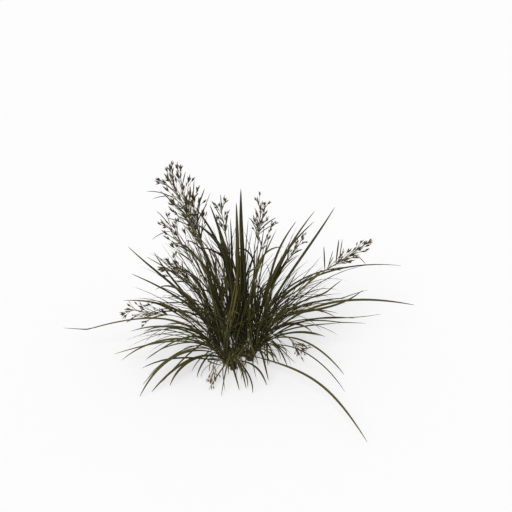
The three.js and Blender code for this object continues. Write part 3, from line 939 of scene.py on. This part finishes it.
headLook = {
    "leavesFace": (0, -1, 0.45),  # the slim leaves turn their faces to the front
    "ripeUnder": 12,  # a head that hangs lower is ripe and the colour of straw
    "ripeStraw": 0.4,
    "bow": 0.25,  # how far the end of a head bends away
    "bowTurn": 137,  # from one head to the next
    "bowRise": 40,
    "axisRadius": 0.62,  # of the middle line of the head
    "axisLight": 0.8,
    "sides": 5,
    "rows": 8,
    "taper": 0.45,
    "branchRadius": 0.42,
    "branchesAt": (0.06, 0.93),  # shares of the head's length, for the lowest and the highest
    "turnSpread": 40,
    "spread": (0.7, 1.3),
    "length": (0.75, 1.15),
    "shorten": 0.6,  # towards the top
    "sag": 0.1,
    "endSize": (0.9, 1.2),  # of the spikelet at the end of a branch
    "sideBranches": (1, 2),
    "sidesAt": (0.3, 0.85),
    "sideLength": (4, 10),
    "sideSpread": (22, 44),
    "sideRadius": 0.336,
    "sideSize": (0.6, 0.95),
    "tipSize": 1.1,
}
bractLook = {  # slim leaves at the feet of the branches
    "perBranch": (0.7, 1.1),
    "upTo": 0.6,
    "spread": (0.15, 0.6),
    "curl": (0.6, 0.5),  # sideways and up
    "length": (0.35, 1.05),  # in lengths of the lowest branch
    "width": (1, 1.6),
}
bristleLook = {  # bare hair-thin branches
    "count": (3, 6),
    "upTo": 0.8,
    "spread": (0.25, 0.7),
    "length": (0.5, 1),
    "drop": 2,
    "sag": 0.3,
    "radius": 0.2,
    "light": 0.7,
}
branchFinish = {
    "grain": (900,),
    "colours": ("light", (0.06, 0.053, 0.025), (0.19, 0.17, 0.09)),
    "coats": [
        ("straw", 1, (0.3, 0.24, 0.11)),
        ("grain", 0.3, (0.045, 0.03, 0.017)),
    ],
    "roughness": 0.6,
    "gloss": 0.5,
}
spikeletLook = {
    "length": 8.2,
    "radius": 0.95,
    "segments": 6,
    "rings": 6,
    "bulge": (2, 1, 1.5),
    # from and to which share of the length a husk is drawn in, to what width, and about what share
    "drawnIn": ((0.55, 1.1, 0.72, 0.55), (0.85, 1.1, 0.45, 0.9), (-0.1, 0.3, 0.6, 0.2)),
    "husks": (3, 4.9),  # husks in each spikelet
    "fork": (8, 34),  # how far they open
    "firstFork": 0.3,  # the share of it for the first husk
    "bend": (0.5, 1.4),  # how much of it at the foot and at the tip
    "turnSpread": 60,
    "firstLength": 1.1,  # share of the length for the first husk
    "shorten": 0.12,  # from each husk to the next
    "spread": (0.8, 1.2),
    "lower": 0.5,
    "shadeSpread": 0.5,
}
huskFinish = {
    "grain": (1500, 3, (1, 1, 0.4)),
    "colours": ("light", (0.034, 0.022, 0.0095), (0.125, 0.088, 0.034)),
    "coats": [
        ("straw", 1, (0.2, 0.14, 0.07)),
        ("grain", 0.45, (0.03, 0.014, 0.01)),
        ("run", 0.5, (0.15, 0.11, 0.068), 0.7, 1),
    ],
    "relief": (0.5, 0.0002),
    "roughness": 0.62,
    "gloss": 0.12,
}


def branchWidth(share):
    return 1 - headLook["taper"] * share


# A husk of a spikelet: a slim pointed boat, y from 0 to 1, radius 1 at its widest
def modelHusk(name):
    look = spikeletLook
    ball = {"segments": look["segments"], "ring_count": look["rings"], "radius": 0.5}
    piece = startPiece(bpy.ops.mesh.primitive_uv_sphere_add, **ball)
    bpy.ops.mesh.select_all(action="SELECT")
    bpy.ops.transform.resize(value=look["bulge"], center_override=(0, 0.5, 0))
    for low, high, width, about in look["drawnIn"]:
        pickPoints(piece, lambda at: low < at.y < high)
        bpy.ops.transform.resize(value=(width, 1, width), center_override=(0, about, 0))
    return finishMaster(piece, name, 60)


# Pointed husks that open like the fingers of a hand, the outer ones lower and shorter
def spikeletPieces(at, direction, draw, size, straw=0):
    look = spikeletLook
    side = unit(np.cross(direction, heading(360 * draw()) + up * 0.3))
    shade = draw()
    for i in range(int(draw(look["husks"]))):
        away = turned(side, direction, goldenTurn * i + look["turnSpread"] * draw())
        opening = math.radians(draw(look["fork"]))
        fork = math.tan(opening * (1 if i else look["firstFork"]))
        leave, arrive = [unit(direction + away * fork * bend) for bend in look["bend"]]
        length = look["length"] * size * (look["firstLength"] - look["shorten"] * i)
        length *= draw(look["spread"])
        line = sprout(at - direction * (look["lower"] * i * size), leave, arrive, length, side)
        lightness = shade + look["shadeSpread"] * (draw() - 0.5)
        tone = (min(max(lightness, 0), 1), straw, 0)
        yield copyAlong(husk, line, look["radius"] * size, tone)


def offAxis(stem, share, turn):  # a place on the middle line of a head, its direction, and a side of it
    root, along = walk(stem["headCurve"], share)
    over = unit(np.cross(along, stem["across"]))
    return root, along, turned(unit(np.cross(over, along)), along, turn)


def branchPieces(stem, index):
    look = headLook
    draw = numberStream(stem["number"] * 100 + index)
    share = mix(*look["branchesAt"], index / (stem["branches"] - 1))
    turn = goldenTurn * index + look["turnSpread"] * draw()
    root, along, side = offAxis(stem, share, turn)
    out = swung(along, side, stem["spread"] * draw(look["spread"]))
    length = stem["reach"] * (1 - look["shorten"] * share) * draw(look["length"])
    sag = look["sag"] * length * draw()

    def at(distance):
        return root + out * distance - up * (sag * (distance / length) ** 2)

    end = at(length)
    arrive = unit(end - at(length * 0.9))
    straw, size = stem["straw"], stem["size"]
    line = strand(root, out, end, arrive, side)
    yield copyAlong(thinStalk, line, look["branchRadius"], (draw(), straw, 0))
    yield from spikeletPieces(end, arrive, draw, size * draw(look["endSize"]), straw)
    for _ in range(round(draw(look["sideBranches"]))):
        foot = at(length * draw(look["sidesAt"]))
        angle = draw(look["sideSpread"])
        leave = unit(swung(arrive, turned(side, out, 360 * draw()), angle))
        tip = foot + leave * draw(look["sideLength"])
        line = strand(foot, leave, tip, leave, side)
        yield copyAlong(thinStalk, line, look["sideRadius"], (draw(), straw, 0))
        yield from spikeletPieces(tip, leave, draw, size * draw(look["sideSize"]), straw)


def slimLeaves(stem, draw):
    for number, share, turn, rise, fall, length, width in headLeaves:
        if number == stem["number"]:
            root = walk(stem["headCurve"], share)[0]
            leave, arrive = climb(heading(turn), rise), climb(heading(turn), fall)
            face = np.cross(unit(leave + arrive), headLook["leavesFace"])
            line = sprout(root, leave, arrive, length, face)
            yield copyAlong(plainBlade, line, width, leafTone(draw))


def bractPieces(stem, draw):
    look = bractLook
    outwards, upwards = look["curl"]
    for _ in range(round(draw(look["perBranch"]) * stem["branches"])):
        root, along, side = offAxis(stem, look["upTo"] * draw(), 360 * draw())
        leave = unit(along + side * draw(look["spread"]))
        arrive = unit(leave + side * outwards * draw() + up * upwards * (draw() - 0.5))
        line = sprout(root, leave, arrive, draw(look["length"]) * stem["reach"], side)
        yield copyAlong(plainBlade, line, draw(look["width"]), leafTone(draw))


def bristlePieces(stem, draw):
    look = bristleLook
    for _ in range(round(draw(look["count"]))):
        root, along, side = offAxis(stem, look["upTo"] * draw(), 360 * draw())
        leave = unit(along + side * draw(look["spread"]))
        length = stem["reach"] * draw(look["length"])
        end = root + leave * length - up * look["drop"]
        line = strand(root, leave, end, unit(leave - up * look["sag"]), side)
        yield copyAlong(thinStalk, line, look["radius"], (look["light"], 0, 0))


def headPieces(stem):
    look = headLook
    line = tubeLine(stem["headCurve"], stem["across"])
    yield copyAlong(thinStalk, line, look["axisRadius"], (look["axisLight"], stem["straw"], 0))
    for index in range(stem["branches"]):
        yield from branchPieces(stem, index)
    draw = numberStream(7000 + stem["number"])
    yield from spikeletPieces(*walk(stem["headCurve"], 1), draw, look["tipSize"] * stem["size"])
    for makePieces in (slimLeaves, bractPieces, bristlePieces):
        yield from makePieces(stem, draw)


def readStem(row, number):
    stem = dict(zip(stemKeys, row))
    bunch = bunches[stem["bunch"]]
    foot = standAt(bunch, stem["turn"], bunch["ring"] + stemLook["inset"])
    neck, tip = np.array(stem["neck"], float), np.array(stem["tip"], float)
    flat = unit((neck - foot) * (1, 1, 0))
    arrive = unit(tip - neck)
    bow = climb(heading(headLook["bowTurn"] * number), headLook["bowRise"]) * headLook["bow"]
    stem["number"] = number
    stem["straw"] = headLook["ripeStraw"] if tip[2] < headLook["ripeUnder"] else 0
    stem["curve"] = arc(foot, climb(flat, stem["rise"]), neck, arrive, stemLook["handle"])
    stem["headCurve"] = arc(neck + arrive * crownLook["seatGap"], arrive, tip, unit(arrive + bow))
    stem["across"] = np.cross(up, flat)
    return stem


print("masters: stalks and husk")
stemStalk = modelStalk("masterStem", stemLook["sides"], stemLook["rows"], stemWidth)
thinStalk = modelStalk("masterStalk", headLook["sides"], headLook["rows"], branchWidth)
husk = modelHusk("masterHusk")
wear(stemStalk, makeMaterial("stemSkin", stemFinish))
wear(thinStalk, makeMaterial("headBranch", branchFinish))
wear(husk, makeMaterial("spikeletHusk", huskFinish))
for number, row in enumerate(flowerStems, 1):
    stem = readStem(row, number)
    piece = joinAs("floweringStem_" + str(number), stemPieces(stem, numberStream(6000 + number)))
    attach(piece, "root")
    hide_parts("flower_stem_" + str(number))
    piece = joinAs("flowerHead_" + str(number), headPieces(stem))
    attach(piece, "root")
    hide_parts("flower_head_" + str(number))
print("stems and flower heads:", len(flowerStems))


# Crown: knobbly lobes joined by runners, cut level underneath
def addRound(sides, radius, depth, place, rotation=(0, 0, 0)):
    size = {"vertices": sides, "radius": radius * mm, "depth": depth * mm}
    bpy.ops.mesh.primitive_cylinder_add(location=[v * mm for v in place], rotation=rotation, **size)
    piece = bpy.context.object
    holdOnly(piece)
    bpy.ops.object.transform_apply(location=True, rotation=True)
    return piece


def modelCrown():
    look = crownLook
    parts = []
    start = np.array(bunches["middle"]["at"], float)
    for name, bunch in bunches.items():
        radius = bunch["ring"] + look["lobeMargin"] - look["knobMargin"]
        middle = (*bunch["at"], look["rootHeight"] / 2)
        parts.append(addRound(look["lobeSides"], radius, look["rootHeight"], middle))
        if name == "middle":
            continue  # the others grew from it
        end = np.array(bunch["at"], float)
        along = end - start
        middle = (*(start + end) / 2, look["runnerRadius"])
        lying = (math.pi / 2, 0, math.atan2(along[1], along[0]) + math.pi / 2)
        length = np.linalg.norm(along)
        parts.append(addRound(look["runnerSides"], look["runnerRadius"], length, middle, lying))
    crown = joinAs("crownRootstock", parts)
    cloud = bpy.data.textures.new("knobs", "CLOUDS")
    cloud.noise_scale = look["knobSize"] * mm
    knobs = {"texture": cloud, "strength": look["knobs"] * mm, "mid_level": look["knobMiddle"]}
    applyModifier(crown, "REMESH", mode="VOXEL", voxel_size=look["voxel"] * mm)
    applyModifier(crown, "DISPLACE", texture_coords="LOCAL", **knobs)
    applyModifier(crown, "SMOOTH", factor=0.5, iterations=look["softening"])
    editOnly(crown)
    cut = (0, 0, look["cut"] * mm)
    bpy.ops.mesh.select_all(action="SELECT")
    bpy.ops.mesh.bisect(plane_co=cut, plane_no=(0, 0, -1), use_fill=True, clear_outer=True)
    bpy.ops.mesh.select_all(action="SELECT")
    bpy.ops.transform.translate(value=(0, 0, -cut[2]))
    smoothTo(crown, 40)
    wear(crown, makeMaterial("crownRoot", crownFinish))
    return crown


crown = modelCrown()
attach(crown, "root")
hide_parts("crown")
print("crown")

# Dry leaves and fibres round the foot of each bunch
dryLook = {
    "perBunch": 12,
    "length": (12, 44),
    "fewLong": 1.6,  # the higher, the fewer are long
    "width": (0.7, 1.4),
    "rise": (40, 86),
    "slope": 0.7,  # share of the rise
    "lowestTip": 2,
    "fall": (20, 80),  # under the rise
    "out": (0.6, 1.8),  # from the ring of shoots
    "footHeight": (1, 5),
    "turnSpread": 50,
    "swing": 30,
    "yellow": (0.4, 1),
    "dry": (1, 2.6),
}


def dryPieces(bunch, draw):
    look = dryLook
    for i in range(look["perBunch"]):
        turn = 360 * (i + draw()) / look["perBunch"]
        foot = standAt(bunch, turn, bunch["ring"] + draw(look["out"]))
        foot[2] = draw(look["footHeight"])
        length = mix(*look["length"], draw() ** look["fewLong"])
        rise = draw(look["rise"])
        slant = math.radians(rise * look["slope"])
        leaf = {
            "turn": turn + look["turnSpread"] * (draw() - 0.5),
            "reach": length * math.cos(slant),
            "tip": max(length * math.sin(slant), look["lowestTip"]),
            "rise": rise,
            "fall": rise - draw(look["fall"]),
            "width": draw(look["width"]),
            "swing": look["swing"] * (draw() - 0.5),
            "from": 0,
        }
        addHabit(leaf, draw)
        tone = (draw(), draw(look["yellow"]), draw(look["dry"]))
        line = leafLine({"foot": foot, "lean": up}, leaf)
        yield copyAlong(plainBlade, line, leaf["width"], tone)


for index, (name, bunch) in enumerate(bunches.items()):
    piece = joinAs("dryLeaves_" + name, dryPieces(bunch, numberStream(8000 + index)))
    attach(piece, "root")
print("dry leaves:", dryLook["perBunch"] * len(bunches))

# Old leaves that stand along a runner between two bunches
runnerLeavesLook = {
    "bunch": "right",
    "count": 16,
    "share": (0.3, 0.72),  # of the way from the middle bunch to it
    "aside": 2.4,
    "footHeight": (1, 3),
    "length": (14, 46),
    "width": (1.1, 2),
    "lean": 16,
    "bend": 0.5,
    "light": 0.4,
}


def runnerLeaves():
    look = runnerLeavesLook
    draw = numberStream(8100)
    far = np.array((*bunches[look["bunch"]]["at"], 0), float)
    for _ in range(look["count"]):
        foot = far * draw(look["share"])
        foot = foot + heading(360 * draw()) * look["aside"] * draw()
        foot[2] = draw(look["footHeight"])
        length = draw(look["length"])
        turn = 360 * draw()
        leave = unit(up + heading(turn) * math.tan(math.radians(look["lean"])) * draw())
        arrive = unit(leave + heading(turn) * look["bend"] * draw())
        line = sprout(foot, leave, arrive, length, heading(360 * draw()))
        tone = (look["light"] * draw(), draw(), draw())
        yield copyAlong(plainBlade, line, draw(look["width"]), tone)


piece = joinAs("oldLeaves_runner", runnerLeaves())
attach(piece, "root")
print("old leaves on the runner:", runnerLeavesLook["count"])

for master in (fineBlade, plainBlade, sheath, stemStalk, thinStalk, husk):
    bpy.data.objects.remove(master)


# Studio: camera at the photograph's angle, a pale floor and soft light
studioLook = {
    "eye": (21.6, -878.36, 539.34),
    "target": (21.6, 49.7, 106.58),
    "lens": 60,
    "sensor": 36,
    "floorSize": 8,  # metres
    "floorDrop": 0.2,  # under the cut faces
    "floorColour": (0.42, 0.42, 0.42),
    "floorRoughness": 0.9,
    "floorGloss": 0.1,
    "floorGlow": 0.53,  # the share of its light that the floor gives off evenly, as a light table does
    "white": (1, 1, 1),
    "skyStrength": 0.56,
    "keyPlace": (-500, -1700, 1500),
    "keyTarget": (0, 0, 50),
    "keyAngle": 34,  # degrees across the soft light
    "keyPower": 2.5,
}


def putInScene(name, data, place, target):  # it looks from a place at a target
    thing = bpy.data.objects.new(name, data)
    bpy.context.collection.objects.link(thing)
    place, target = [Vector([v * mm for v in point]) for point in (place, target)]
    thing.location = place
    thing.rotation_euler = (target - place).to_track_quat("-Z", "Y").to_euler()
    return thing


def setStudio():
    look = studioLook
    camera = putInScene("camera", bpy.data.cameras.new("camera"), look["eye"], look["target"])
    camera.data.lens = look["lens"]
    camera.data.sensor_width = look["sensor"]
    bpy.context.scene.camera = camera

    key = putInScene("key", bpy.data.lights.new("key", "SUN"), look["keyPlace"], look["keyTarget"])
    key.data.angle = math.radians(look["keyAngle"])
    key.data.energy = look["keyPower"]

    world = bpy.data.worlds.new("sky")
    bpy.context.scene.world = world
    world.use_nodes = True
    sky = world.node_tree.nodes["Background"]
    feed(world.node_tree, sky, Color=look["white"], Strength=look["skyStrength"])

    bpy.ops.mesh.primitive_plane_add(size=look["floorSize"], location=(0, 0, -look["floorDrop"] * mm))
    floor = bpy.context.object
    floor.name = "floor"
    material, tree, shader = newMaterial("paleFloor")
    feed(tree, shader, Base_Color=look["floorColour"], Roughness=look["floorRoughness"])
    feed(tree, shader, Specular_IOR_Level=look["floorGloss"])
    feed(tree, shader, Emission_Color=look["white"], Emission_Strength=look["floorGlow"])
    wear(floor, material)
    floor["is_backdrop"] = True
    bpy.context.scene.view_settings.view_transform = "Standard"


setStudio()
print("studio")

boxes = {"cad": cadBox, "visual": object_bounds()}
{name: [[float(v) for v in corner] for corner in box] for name, box in boxes.items()}
